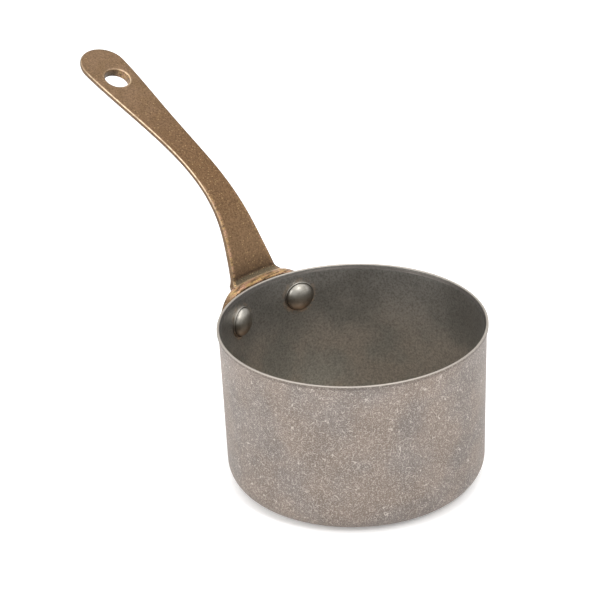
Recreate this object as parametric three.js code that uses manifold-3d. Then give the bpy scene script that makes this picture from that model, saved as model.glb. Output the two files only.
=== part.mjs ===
// A small serving saucepan: a drawn steel cup with a long strap handle held by two rivets.
// Millimetres, +Z up. The origin is on the cup's axis, in the plane of its flat base.
// The handle points along +X, and the XZ plane is the part's plane of symmetry.

import * as THREE from "three";
import { mergeVertices } from "three/addons/utils/BufferGeometryUtils.js";
import Module from "manifold-3d";

const wasm = await Module();
wasm.setup();

// Driving dimensions of the cup
const POT_HEIGHT = 56;
const RIM_DIAMETER = 90; // over the lip
const SHEET = 0.9;
const LIP_OVERHANG = 0.55; // how far the lip stands out from the wall
const LIP_HEIGHT = 1.5;
const WALL_DRAFT = THREE.MathUtils.degToRad(1.35);
const CORNER_RADIUS = 7.8; // outside, between wall and base

// Driving dimensions of the handle's flange, which hugs the wall
const FLANGE_LENGTH = 40.4; // along the arc of its outer face
const FLANGE_HEIGHT = 19.4;
const FLANGE_END = 12; // length of each elliptical end
const FLANGE_THICKNESS = 4.45;
const FLANGE_EDGE = 1.2; // rounding of its outer edge

// Driving dimensions of the strap, along its upper face
const STRAP_THICKNESS = 3.3;
const STRAP_EDGE = 0.6; // rounding of its upper edge
const STRAP_UNDER_EDGE = 3.3; // how far its lower edge is rounded in, and up
const STRAP_UNDER_RISE = 2.7;
const ROOT_ANGLE = THREE.MathUtils.degToRad(75.1); // above the horizontal, at the ledge
const TIP_ANGLE = THREE.MathUtils.degToRad(24);
const BEND_RUN = 45.9; // ledge to the end of the bend, measured outwards
const BEND_RISE = 44.3; // the same, measured upwards
const ROOT_PULL = 27.5; // how far the bend keeps to each tangent
const TIP_PULL = 27.5;
const TIP_LENGTH = 39.8; // straight length past the bend
const RUN_OUT = 3; // last stretch over which the strap's back sinks into the flange
const SINK = 0.4; // how deep it ends below the flange's outer face
const ROOT_WIDTH = 19.7;
const ROOT_TAPER = 0.18; // loss of half-width per length at the root
const ROOT_HOLD = 14; // how far the outline keeps to that taper
const WAIST_WIDTH = 10.5;
const WAIST_AT = 45; // from the ledge
const WAIST_HOLD = 21; // how far the outline keeps to the waist, on either side
const TONGUE_WIDTH = 17;
const TONGUE_HOLD = 12; // how far the outline keeps to the tongue's width
const FLARE_RADIUS = 3.4; // side fillets where the strap meets the flange
const FLARE_TURN = THREE.MathUtils.degToRad(40); // how far those fillets turn
const WRAP_FADE = 14; // length over which the strap turns from curved to flat
const LEDGE_FILLET = 2.1; // between the ledge and the strap's upper face
const HOLE_DIAMETER = 8.8;
const HOLE_FROM_TIP = 16;
const HOLE_CHAMFER = 0.4;

// Driving dimensions of the rivets
const RIVET_PITCH = 28; // along the arc of the wall
const RIVET_DROP = 9; // below the rim
const SHANK_DIAMETER = 5;
const HEAD_DIAMETER = 10.7;
const HEAD_COLLAR = 0.6;
const HEAD_STEP = 0.45; // from the collar's edge in to the dome
const HEAD_RISE = 2.6; // of the dome above its collar
const TAIL_DIAMETER = 7;
const TAIL_RISE = 1.8;

// Clearances
const SEAT_GAP = 0.3; // between pieces that rest on each other
const SHANK_GAP = 0.3; // round a shank in its holes

// Fineness of the facets
const ROUND_STEPS = 72; // round the cup
const RIVET_STEPS = 24;
const HOLE_STEPS = 36;
const ARC_STEPS = 6; // in a corner arc
const EDGE_STEPS = 4; // in a rounded edge
const FACE_STEPS = 4; // across a plate's face
const STRAP_STEPS = 16; // in each half of the strap's outline
const TIP_STEPS = 8; // in half of the round tip
const FLANGE_STEPS = 8; // in each stretch of the flange's outline
const WELD = 1e-4; // corners closer than this are one
const QUARTER = Math.PI / 2;

// Sizes that follow from them
const rimRadius = RIM_DIAMETER / 2;
const lipRoom = rimRadius + SEAT_GAP;
const lipFoot = POT_HEIGHT - LIP_HEIGHT;
const rivetHeight = POT_HEIGHT - RIVET_DROP;
const ledgeHeight = rivetHeight + FLANGE_HEIGHT / 2;
const wallRadius = (z) => rimRadius - LIP_OVERHANG - (lipFoot - z) * Math.tan(WALL_DRAFT);
const flangeOuter = wallRadius(rivetHeight) + SEAT_GAP + FLANGE_THICKNESS;
const tailFace = flangeOuter + SEAT_GAP;
const rivetAngle = RIVET_PITCH / 2 / wallRadius(rivetHeight);

// Solids

/** A list of [x, y] pairs as points. */
function points(pairs) {
  return pairs.map(([x, y]) => new THREE.Vector2(x, y));
}

/** Points of an arc, from one angle to another, both ends included. */
function arc(centreX, centreY, radiusX, radiusY, from, to, steps) {
  return Array.from({ length: steps + 1 }, (_, i) => {
    const angle = from + ((to - from) * i) / steps;
    return new THREE.Vector2(centreX + radiusX * Math.cos(angle), centreY + radiusY * Math.sin(angle));
  });
}

/** Welds a geometry's corners, drops its empty triangles and returns it as a solid that faces out. */
function solidOf(geometry) {
  const bare = new THREE.BufferGeometry().setAttribute("position", geometry.getAttribute("position"));
  const welded = mergeVertices(bare.setIndex(geometry.index), WELD);
  const corners = welded.index.array;
  const triVerts = [];
  for (let i = 0; i < corners.length; i += 3) {
    const [a, b, c] = corners.slice(i, i + 3);
    if (a !== b && b !== c && c !== a) triVerts.push(a, b, c);
  }
  const vertProperties = welded.getAttribute("position").array;
  const build = (tris) =>
    new wasm.Manifold(new wasm.Mesh({ numProp: 3, vertProperties, triVerts: new Uint32Array(tris) }));
  const solid = build(triVerts);
  return solid.volume() > 0 ? solid : build(triVerts.toReversed());
}

/** A profile of (radius, height) points turned round the Z axis. */
function turned(profile, steps) {
  return solidOf(new THREE.LatheGeometry(profile, steps).rotateX(QUARTER));
}

/** A profile of (radius, distance) points turned round an axis, with distances measured from `origin`. */
function turnedAbout(origin, axis, profile, steps) {
  const turn = new THREE.Quaternion().setFromUnitVectors(new THREE.Vector3(0, 0, 1), axis);
  const geometry = new THREE.LatheGeometry(profile, steps).rotateX(QUARTER).applyQuaternion(turn);
  return solidOf(geometry.translate(origin.x, origin.y, origin.z));
}

/** The levels of a plate's edge: how far each lies inside the outline, and its depth below the upper face. */
function edgeLevels(thickness, upperEdge, lowerEdge, lowerRise) {
  const upper = arc(upperEdge, upperEdge, upperEdge, upperEdge, 3 * QUARTER, 2 * QUARTER, EDGE_STEPS);
  const low = thickness - lowerRise;
  const lower = arc(lowerEdge, low, lowerEdge, lowerRise, 2 * QUARTER, QUARTER, EDGE_STEPS);
  const levels = [...upper.slice(upperEdge > 0 ? 0 : -1), ...lower.slice(lowerEdge > 0 ? 0 : -1)];
  return levels.map(({ x, y }) => ({ inset: x, depth: y }));
}

/**
 * A plate cut to a mirror-symmetric outline, with shaped edges, then formed.
 * `outline` lists (along, half-width) points from end to end. An end is pointed, or cut square.
 * `place` takes (along, across, depth) to a point in space.
 * Both faces are strips that run across the plate, so that it can be bent lengthwise without a crease.
 */
function formedPlate(outline, levels, place) {
  const last = outline.length - 1;
  const inward = outline.map((point, i) => {
    if (i > 0 && i < last) {
      const run = outline[i + 1].clone().sub(outline[i - 1]).normalize();
      return new THREE.Vector2(run.y, -run.x);
    }
    if (point.y > 0) return new THREE.Vector2(0, -1);
    return new THREE.Vector2(i === 0 ? 1 : -1, 0);
  });
  const grids = levels.map(({ inset }) => {
    return outline.map((point, i) => {
      const { x, y } = point.clone().addScaledVector(inward[i], inset);
      return Array.from({ length: FACE_STEPS + 1 }, (_, j) => [x, y * (1 - (2 * j) / FACE_STEPS)]);
    });
  });
  const positions = [];
  const index = [];
  const quad = (a, b, c, d) => index.push(a, b, c, a, c, d);
  const addCorners = (pairs, level) => {
    const first = positions.length / 3;
    pairs.forEach((pair) => positions.push(...place(...pair, levels[level].depth).toArray()));
    return first;
  };

  grids.forEach((grid, level) => {
    const left = grid.map((row) => row[0]);
    const right = grid.map((row) => row[FACE_STEPS]);
    const [start, end] = [grid[0], grid[last]].map((row) => row.slice(1, -1));
    const ring = [...left, ...end, ...right.reverse(), ...start.reverse()];
    const here = addCorners(ring, level);
    if (level === 0) return;
    const above = here - ring.length;
    ring.forEach((_, i) => {
      const next = (i + 1) % ring.length;
      quad(above + i, above + next, here + next, here + i);
    });
  });

  [0, levels.length - 1].forEach((level) => {
    const row = FACE_STEPS + 1;
    const first = addCorners(grids[level].flat(), level);
    for (let i = 0; i < last * row; i += 1) {
      const here = first + i;
      const [beside, beyond] = level > 0 ? [here + row, here + 1] : [here + 1, here + row];
      if (i % row < FACE_STEPS) quad(here, beside, here + row + 1, beyond);
    }
  });

  const geometry = new THREE.BufferGeometry();
  geometry.setAttribute("position", new THREE.Float32BufferAttribute(positions, 3));
  return solidOf(geometry.setIndex(index));
}

/** The named mesh of a finished solid. */
function piece(name, solid, material) {
  const { vertProperties, triVerts } = solid.getMesh();
  const geometry = new THREE.BufferGeometry();
  geometry.setAttribute("position", new THREE.BufferAttribute(vertProperties, 3));
  geometry.setIndex(new THREE.BufferAttribute(triVerts, 1));
  geometry.computeVertexNormals();
  const mesh = new THREE.Mesh(geometry, material);
  mesh.name = name;
  return mesh;
}

// Cup

/** The arc between wall and base, for a surface that lies `offset` outside the sheet's outer face. */
function cupCorner(offset) {
  const radius = CORNER_RADIUS + offset;
  const centre = wallRadius(CORNER_RADIUS) - CORNER_RADIUS * Math.cos(WALL_DRAFT);
  return arc(centre, CORNER_RADIUS, radius, radius, -QUARTER, -WALL_DRAFT, ARC_STEPS);
}

/** The inside of the cup from its flared throat to the axis, for a surface that lies `gap` off the sheet. */
function cupInside(gap) {
  const inset = SHEET + gap;
  const throat = points([[rimRadius - inset, POT_HEIGHT], [wallRadius(lipFoot) - inset, lipFoot]]);
  return [...throat, ...cupCorner(-inset).reverse(), ...points([[0, inset]])];
}

/** The drawn sheet, with its lip turned out and rounded over. */
function cupShell() {
  const crown = SHEET / 2;
  const rise = Math.min(crown, LIP_HEIGHT / 2);
  const lipCentre = [rimRadius - LIP_OVERHANG, lipFoot + LIP_OVERHANG];
  const underLip = arc(...lipCentre, LIP_OVERHANG, LIP_OVERHANG, -QUARTER, 0, EDGE_STEPS);
  const overLip = arc(rimRadius - crown, POT_HEIGHT - rise, crown, rise, 0, 2 * QUARTER, ARC_STEPS);
  const outside = [...points([[0, 0]]), ...cupCorner(0), ...underLip, ...overLip];
  return turned([...outside, ...cupInside(0).slice(1)], ROUND_STEPS);
}

/** The room that the cup takes up, with a seat gap round it and everything above the rim. */
function cupRoom() {
  const underLip = lipFoot - SEAT_GAP;
  const above = 2 * ledgeHeight;
  const wall = [wallRadius(underLip) + SEAT_GAP, underLip];
  const lip = points([wall, [lipRoom, underLip], [lipRoom, above], [0, above]]);
  return turned([...points([[0, -SEAT_GAP]]), ...cupCorner(SEAT_GAP), ...lip], ROUND_STEPS);
}

/** The room that the cup's sheet takes up, with a seat gap on its inside and everything outside it. */
function sheetRoom() {
  const far = 2 * rimRadius;
  const outside = [[0, -CORNER_RADIUS], [far, -CORNER_RADIUS], [far, POT_HEIGHT]];
  return turned([...points(outside), ...cupInside(SEAT_GAP)], ROUND_STEPS);
}

/** The room inside the flange's outer face, with a seat gap. */
function flangeRoom() {
  const above = 2 * ledgeHeight;
  return turned(points([[0, 0], [tailFace, 0], [tailFace, above], [0, above]]), ROUND_STEPS);
}

// Rivets

/** A profile of (radius, distance from the cup's axis) points turned about the rivet on one side, 1 or -1. */
function aboutRivet(side, profile) {
  const axis = new THREE.Vector3(Math.cos(rivetAngle), side * Math.sin(rivetAngle), 0);
  return turnedAbout(new THREE.Vector3(0, 0, rivetHeight), axis, profile, RIVET_STEPS);
}

/** A plain round bar about a rivet's axis, between two distances from the cup's axis. */
function rivetBar(side, radius, from, to) {
  return aboutRivet(side, points([[0, from], [radius, from], [radius, to], [0, to]]));
}

/** The solid rivet: a domed head on a collar inside the cup, a shank, and a formed tail behind the flange. */
function rivet(side) {
  const wallInner = wallRadius(rivetHeight) - SHEET;
  const headRadius = HEAD_DIAMETER / 2;
  const headFace = wallInner - SEAT_GAP - HEAD_COLLAR;
  const dome = arc(0, headFace, headRadius - HEAD_STEP, HEAD_RISE, -QUARTER, 0, ARC_STEPS);
  const collar = points([[headRadius, headFace], [headRadius, wallInner], [0, wallInner]]);
  const head = aboutRivet(side, [...dome, ...collar]).subtract(sheetRoom());

  const tailRadius = TAIL_DIAMETER / 2;
  const tailFoot = points([[0, wallInner], [tailRadius, wallInner]]);
  const tailDome = arc(0, tailFace, tailRadius, TAIL_RISE, 0, QUARTER, ARC_STEPS);
  const tail = aboutRivet(side, [...tailFoot, ...tailDome]).subtract(flangeRoom());

  const shank = rivetBar(side, SHANK_DIAMETER / 2, headFace, tailFace + TAIL_RISE / 2);
  return shank.add(head).add(tail);
}

/** The holes for both shanks through wall and flange, and the room that the tails need behind the flange. */
function rivetRoom() {
  const [left, right] = [1, -1].map((side) => {
    const hole = rivetBar(side, SHANK_DIAMETER / 2 + SHANK_GAP, rimRadius / 2, 2 * rimRadius);
    const behind = rivetBar(side, TAIL_DIAMETER / 2 + SEAT_GAP, flangeOuter + SEAT_GAP / 2, 2 * rimRadius);
    return hole.add(behind);
  });
  return left.add(right);
}

// Handle

/** The flange: an oval plate wrapped round the cup, deep enough to be cut to the wall. */
function flange() {
  const straight = FLANGE_LENGTH / 2 - FLANGE_END;
  const half = FLANGE_HEIGHT / 2;
  const end = arc(straight, 0, FLANGE_END, half, QUARTER, 0, FLANGE_STEPS);
  end[FLANGE_STEPS].y = 0;
  const start = end.map(({ x, y }) => new THREE.Vector2(-x, y)).reverse();
  const middle = Array.from({ length: FLANGE_STEPS - 1 }, (_, i) => {
    return new THREE.Vector2(straight * ((2 * (i + 1)) / FLANGE_STEPS - 1), half);
  });
  const depth = FLANGE_THICKNESS + 2 * SEAT_GAP + LIP_OVERHANG;
  const place = (along, across, level) => {
    const angle = along / flangeOuter;
    const radius = flangeOuter - depth + level;
    return new THREE.Vector3(radius * Math.cos(angle), radius * Math.sin(angle), rivetHeight + across);
  };
  return formedPlate([...start, ...middle, ...end], edgeLevels(depth, 0, FLANGE_EDGE, FLANGE_EDGE), place);
}

/** The strap's upper face from the side, flange to tip, as (distance from the cup's axis, height). */
function strapLine() {
  const root = new THREE.Vector2(flangeOuter, ledgeHeight);
  const bendEnd = root.clone().add(new THREE.Vector2(BEND_RUN, BEND_RISE));
  const rootRun = new THREE.Vector2(Math.cos(ROOT_ANGLE), Math.sin(ROOT_ANGLE));
  const tipRun = new THREE.Vector2(Math.cos(TIP_ANGLE), Math.sin(TIP_ANGLE));
  const leave = root.clone().addScaledVector(rootRun, ROOT_PULL);
  const arrive = bendEnd.clone().addScaledVector(tipRun, -TIP_PULL);
  const tip = bendEnd.clone().addScaledVector(tipRun, TIP_LENGTH);
  const flush = flangeOuter - STRAP_THICKNESS - SINK;
  const meet = root.y - (root.x - flush) * Math.tan(ROOT_ANGLE);
  const path = new THREE.Path();
  path.moveTo(flush, meet - RUN_OUT);
  path.quadraticCurveTo(flush, meet, root.x, root.y);
  path.bezierCurveTo(leave.x, leave.y, arrive.x, arrive.y, bendEnd.x, bendEnd.y);
  return path.lineTo(tip.x, tip.y);
}

const line = strapLine();
const lineLength = line.getLength();
const buriedLength = line.curves[0].getLength();
const tipAt = lineLength - buriedLength; // from the ledge

/** A point of the strap: distance from the ledge, distance from its middle, depth below its upper face. */
function strapPlace(along, across, depth) {
  const share = THREE.MathUtils.clamp((along + buriedLength) / lineLength, 0, 1);
  const point = line.getPoint(share);
  const run = line.getTangent(share);
  const wrap = 1 - THREE.MathUtils.smoothstep(along, 0, WRAP_FADE);
  const sag = wrap * (flangeOuter - Math.sqrt(flangeOuter ** 2 - across ** 2));
  return new THREE.Vector3(point.x + depth * run.y - sag, across, point.y - depth * run.x);
}

/** What the side fillets add to the strap's half-width near the flange. */
function flare(along) {
  const into = Math.max(FLARE_RADIUS * Math.sin(FLARE_TURN) - Math.max(along, 0), 0);
  return FLARE_RADIUS - Math.sqrt(FLARE_RADIUS ** 2 - into ** 2);
}

/** The strap: tapered from the root to a waist, widened to a round tongue, then bent along its line. */
function strap() {
  const rootHalf = ROOT_WIDTH / 2;
  const waistHalf = WAIST_WIDTH / 2;
  const tongueHalf = TONGUE_WIDTH / 2;
  const tongueAt = tipAt - tongueHalf;
  const curve = (pairs) => new THREE.CubicBezierCurve(...points(pairs)).getPoints(STRAP_STEPS);
  const toWaist = curve([
    [0, rootHalf],
    [ROOT_HOLD, rootHalf - ROOT_HOLD * ROOT_TAPER],
    [WAIST_AT - WAIST_HOLD, waistHalf],
    [WAIST_AT, waistHalf],
  ]);
  const toTongue = curve([
    [WAIST_AT, waistHalf],
    [WAIST_AT + WAIST_HOLD, waistHalf],
    [tongueAt - TONGUE_HOLD, tongueHalf],
    [tongueAt, tongueHalf],
  ]);
  const flared = toWaist.map(({ x, y }) => new THREE.Vector2(x, y + flare(x)));
  const buried = Array.from({ length: ARC_STEPS }, (_, i) => {
    return new THREE.Vector2(-buriedLength * (1 - i / ARC_STEPS), flared[0].y);
  });
  const tip = arc(tongueAt, 0, tongueHalf, tongueHalf, QUARTER, 0, TIP_STEPS);
  tip[TIP_STEPS].y = 0;
  const outline = [...buried, ...flared, ...toTongue.slice(1), ...tip.slice(1)];
  const levels = edgeLevels(STRAP_THICKNESS, STRAP_EDGE, STRAP_UNDER_EDGE, STRAP_UNDER_RISE);
  return formedPlate(outline, levels, strapPlace);
}

/** The hollow fillet from the flange's ledge up to the strap's upper face, as wide as the strap's flat. */
function ledgeFillet() {
  const reach = LEDGE_FILLET * Math.tan(ROOT_ANGLE / 2);
  const from = -QUARTER - ROOT_ANGLE;
  const hollow = arc(reach, LEDGE_FILLET, LEDGE_FILLET, LEDGE_FILLET, from, -QUARTER, ARC_STEPS);
  const outline = hollow.map(({ x }) => {
    return new THREE.Vector2(x, ROOT_WIDTH / 2 - ROOT_TAPER * x + flare(x) - STRAP_EDGE);
  });
  const place = (along, across, depth) => {
    const rise = LEDGE_FILLET - Math.sqrt(LEDGE_FILLET ** 2 - (reach - along) ** 2);
    return strapPlace(along, across, depth > 0 ? depth : -rise);
  };
  return formedPlate(outline, edgeLevels(STRAP_THICKNESS / 2, 0, 0, 0), place);
}

/** The cutter for the hanging hole, countersunk a little on both faces. */
function hangingHole() {
  const along = tipAt - HOLE_FROM_TIP;
  const face = strapPlace(along, 0, 0);
  const axis = strapPlace(along, 0, STRAP_THICKNESS).sub(face).normalize();
  const bore = HOLE_DIAMETER / 2;
  const wide = bore + 2 * HOLE_CHAMFER;
  const far = STRAP_THICKNESS + HOLE_CHAMFER;
  const profile = [
    [0, -HOLE_CHAMFER],
    [wide, -HOLE_CHAMFER],
    [bore, HOLE_CHAMFER],
    [bore, STRAP_THICKNESS - HOLE_CHAMFER],
    [wide, far],
    [0, far],
  ];
  return turnedAbout(face, axis, points(profile), HOLE_STEPS);
}

/** The whole handle, cut to the cup's outside and drilled for the rivets and for hanging. */
function handle() {
  const whole = flange().add(strap()).add(ledgeFillet());
  return whole.subtract(cupRoom()).subtract(rivetRoom()).subtract(hangingHole());
}

// Assembly

const stoneWashedSteel = new THREE.MeshStandardMaterial({ color: 0xb0a497, roughness: 0.5, metalness: 0.9 });
const antiqueBrass = new THREE.MeshStandardMaterial({ color: 0x8f7454, roughness: 0.45, metalness: 0.9 });
const polishedSteel = new THREE.MeshStandardMaterial({ color: 0x9a958e, roughness: 0.25, metalness: 1 });

const saucepan = new THREE.Group();
saucepan.add(piece("pot_body", cupShell().subtract(rivetRoom()), stoneWashedSteel));
saucepan.add(piece("handle", handle(), antiqueBrass));
saucepan.add(piece("rivet_left", rivet(1), polishedSteel));
saucepan.add(piece("rivet_right", rivet(-1), polishedSteel));

export default saucepan;
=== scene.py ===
"""Dresses a small riveted saucepan: a stone-washed steel cup, an antiqued brass strap handle and two steel rivets.

Sizes are in millimetres until a mesh is made. Meshes are in metres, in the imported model's frame: +Z up, the origin
on the cup's axis in the plane of its base, the handle along +X.
"""

import logging
import math
from dataclasses import dataclass, field
from enum import Enum
from functools import reduce

import bmesh
import bpy
import numpy as np
from mathutils import Matrix, Vector


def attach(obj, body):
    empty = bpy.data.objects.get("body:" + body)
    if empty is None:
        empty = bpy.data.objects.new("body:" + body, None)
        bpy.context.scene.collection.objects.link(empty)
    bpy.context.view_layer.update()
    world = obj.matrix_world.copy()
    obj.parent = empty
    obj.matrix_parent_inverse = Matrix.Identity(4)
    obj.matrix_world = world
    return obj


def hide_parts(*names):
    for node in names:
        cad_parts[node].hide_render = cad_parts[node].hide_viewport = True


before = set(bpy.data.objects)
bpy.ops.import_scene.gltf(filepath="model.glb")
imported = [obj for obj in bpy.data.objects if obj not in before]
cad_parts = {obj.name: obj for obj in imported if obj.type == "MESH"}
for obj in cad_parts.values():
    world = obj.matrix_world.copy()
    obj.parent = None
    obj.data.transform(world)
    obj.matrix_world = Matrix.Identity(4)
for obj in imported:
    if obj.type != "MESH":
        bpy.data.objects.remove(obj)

LOG = logging.getLogger("saucepan")
MM = 0.001
WELD_M = 2e-7
FAR_MM = 1000.0
ON_AXIS = 1e-9
QUARTER = math.pi / 2
SHARP_CORNER = math.radians(50)  # edges that bend more than this are shaded as corners
CROWDING = 1.6  # how much the columns of a plate's face crowd towards its edge
CURVE_STEPS = 400  # chords of the curves that grids are read from
EASE_FROM, EASE_TO = 1.6, 0.2  # how far short of an edge a face starts and ends its way out to it
BODY = "root"
Array = np.ndarray
Spread = float | Array
Pair = tuple[float, float]
Point = tuple[float, float, float]
Colour = tuple[float, float, float]
Socket = bpy.types.NodeSocket
Number = Socket | float
Tint = Socket | Colour
Fill = Socket | float | Colour


# Numbers and curves


def srgb(red: float, green: float, blue: float) -> Colour:
    """A display colour with levels from 0 to 255, as a linear one with levels from 0 to 1."""
    level = np.array([red, green, blue]) / 255.0
    return tuple(np.where(level <= 0.04045, level / 12.92, ((level + 0.055) / 1.055) ** 2.4).tolist())


def smooth(low: float, high: float, x: Array) -> Array:
    """A smooth step from 0 at `low` to 1 at `high`, 3t^2 - 2t^3 between; `low` may be the larger."""
    t = np.clip((x - low) / (high - low), 0.0, 1.0)
    return t * t * (3.0 - 2.0 * t)


def eased(edge: float, x: Array) -> Array:
    """A smooth step from 0 to 1 that ends a little short of an edge."""
    return smooth(edge - EASE_FROM, edge - EASE_TO, x)


def ridge(at: float, width: float, x: Array) -> Array:
    """A bell of height 1 about a place: e to the power of -((x - at) / width)^2."""
    return np.exp(-(((x - at) / width) ** 2))


def arc(centre: Pair, radii: Pair, start: float, end: float, steps: int) -> Array:
    """Points of an elliptical arc: centre + (a cos t, b sin t), t in even steps from start to end, in radians."""
    t = np.linspace(start, end, steps + 1)
    return np.column_stack([centre[0] + radii[0] * np.cos(t), centre[1] + radii[1] * np.sin(t)])


def between(start: Pair | Array, end: Pair | Array, steps: int) -> Array:
    """Points of a straight line in even steps, both ends included."""
    t = np.linspace(0.0, 1.0, steps + 1)[:, None]
    return np.array(start) * (1 - t) + np.array(end) * t


def bezier(controls: list[Pair], steps: int) -> Array:
    """Points of a cubic Bezier curve: the Bernstein sum of four control points.

    Args:
        controls: the four control points.
        steps: number of chords.

    Returns:
        An array of steps + 1 points.
    """
    t = np.linspace(0.0, 1.0, steps + 1)[:, None]
    a, b, c, d = (np.array(point) for point in controls)
    return a * (1 - t) ** 3 + 3 * b * t * (1 - t) ** 2 + 3 * c * t**2 * (1 - t) + d * t**3


def sagitta(radius: float, aside: Array) -> Array:
    """How far a circle has left its tangent at a distance along it: R - sqrt(R^2 - w^2)."""
    return radius - np.sqrt(radius**2 - aside**2)


def whole_turn(steps: int) -> Array:
    """The angles of a whole turn in even steps, as a row."""
    return np.linspace(0.0, 2 * math.pi, steps, endpoint=False)[None, :]


def on_axis(along: Array) -> Array:
    """(along, 0) points."""
    return np.column_stack([along, np.zeros_like(along)])


def strung(runs: list[Array], numbers: list[Spread]) -> Array:
    """One number for each point of some runs, end to end in a column; a single number holds for its whole run."""
    parts = [np.broadcast_to(number, len(run)) for run, number in zip(runs, numbers)]
    return np.concatenate(parts).astype(float)[:, None]


# Surfaces


@dataclass(frozen=True)
class Surface:
    """A mesh in millimetres, with named numbers at its points that its finish reads."""

    points: Array
    faces: Array
    values: dict[str, Array]

    @classmethod
    def on_grid(cls, points: Array, around: bool = False, **numbers: Spread) -> "Surface":
        """Joins a grid of points by four-cornered faces.

        Args:
            points: rows and columns of points.
            around: whether the last column joins the first.
            numbers: the named numbers, each spread over the grid or one for all of it.

        Returns:
            The surface.
        """
        size = points.shape[:2]
        number = np.arange(size[0] * size[1]).reshape(size)
        if around:
            number = np.concatenate([number, number[:, :1]], axis=1)
        corner = [number[:-1, :-1], number[:-1, 1:], number[1:, 1:], number[1:, :-1]]
        values = {name: np.broadcast_to(value, size).ravel() for name, value in numbers.items()}
        return cls(points.reshape(-1, 3), np.stack(corner, axis=-1).reshape(-1, 4), values)

    def joined(self, other: "Surface") -> "Surface":
        """Puts another surface with the same named numbers beside this one.

        Args:
            other: the surface to add.

        Returns:
            Both as one surface.
        """
        points = np.concatenate([self.points, other.points])
        faces = np.concatenate([self.faces, other.faces + len(self.points)])
        values = {name: np.concatenate([self.values[name], other.values[name]]) for name in self.values}
        return Surface(points, faces, values)

    def made(self, name: str, material: bpy.types.Material) -> bpy.types.Object:
        """Makes the object: welds seams and poles, closes open ends and turns every face outwards.

        Args:
            name: the object's name.
            material: its finish.

        Returns:
            The new object, at the origin.
        """
        mesh = bpy.data.meshes.new(name)
        mesh.from_pydata((self.points * MM).tolist(), [], self.faces.tolist())
        for key, value in self.values.items():
            layer = mesh.attributes.new(key, "FLOAT", "POINT")
            layer.data.foreach_set("value", value.astype(np.float32))
        work = bmesh.new()
        work.from_mesh(mesh)
        bmesh.ops.remove_doubles(work, verts=work.verts, dist=WELD_M)
        bmesh.ops.holes_fill(work, edges=[edge for edge in work.edges if edge.is_boundary], sides=0)
        bmesh.ops.recalc_face_normals(work, faces=work.faces)
        work.to_mesh(mesh)
        work.free()
        mesh.polygons.foreach_set("use_smooth", np.ones(len(mesh.polygons), bool))
        mesh.set_sharp_from_angle(angle=SHARP_CORNER)
        mesh.materials.append(material)
        made = bpy.data.objects.new(name, mesh)
        bpy.context.scene.collection.objects.link(made)
        return made


def edge_levels(thickness: float, upper: float, lower: Pair, steps: int) -> Array:
    """A plate's edge as (inset, depth) points: a quarter round of radius `upper`, then a quarter oval of `lower`."""
    rounded = arc((upper, upper), (upper, upper), 3 * QUARTER, math.pi, steps)
    return np.concatenate([rounded, arc((lower[0], thickness - lower[1]), lower, math.pi, QUARTER, steps)])


def inward(outline: Array) -> Array:
    """Directions that point into a plate from the upper half of its outline, square to the outline's run.

    Args:
        outline: (along, across) points from one end to the other.

    Returns:
        A unit vector for each point.
    """
    run = np.gradient(outline, axis=0)
    run /= np.linalg.norm(run, axis=1, keepdims=True)
    turned = np.column_stack([run[:, 1], -run[:, 0]])
    turned[0] = (1.0, 0.0) if outline[0, 1] < ON_AXIS else (0.0, -1.0)
    turned[-1] = (-1.0, 0.0) if outline[-1, 1] < ON_AXIS else (0.0, -1.0)
    return turned


@dataclass(frozen=True)
class HalfPlate:
    """Half of a plate in its flat state: a grid of (along, across, depth) points, one row for each station.

    A row runs over the upper face from the plate's middle to its edge, round the edge and back over the lower face.
    The edge takes the columns from `first` up to the one before `last`.
    """

    along: Array
    across: Array
    depth: Array
    first: int
    last: int

    @classmethod
    def cut(cls, middle: Array, outline: Array, levels: Array, face_steps: int) -> "HalfPlate":
        """Lays the grid out between a plate's middle line and its outline.

        Args:
            middle: (along, across) points of the middle line or of a hole's edge, one for each station.
            outline: (along, across) points of the outline, one for each station.
            levels: the edge, from `edge_levels`.
            face_steps: columns of each face.

        Returns:
            The half plate.
        """
        edge = outline[:, None, :] + inward(outline)[:, None, :] * levels[None, :, :1]
        share = 1.0 - np.linspace(1.0, 0.0, face_steps, endpoint=False)[None, :, None] ** CROWDING
        upper = middle[:, None, :] * (1 - share) + edge[:, :1, :] * share
        lower = middle[:, None, :] * (1 - share) + edge[:, -1:, :] * share
        flat = np.concatenate([upper, edge, lower[:, ::-1, :]], axis=1)
        level = np.concatenate([np.zeros(face_steps), levels[:, 1], np.full(face_steps, levels[-1, 1])])
        depth = np.broadcast_to(level, flat.shape[:2])
        return cls(flat[..., 0], flat[..., 1], depth, face_steps, face_steps + len(levels))

    @property
    def column(self) -> Array:
        """The numbers of the columns."""
        return np.arange(self.along.shape[1])


# Finishes


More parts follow.
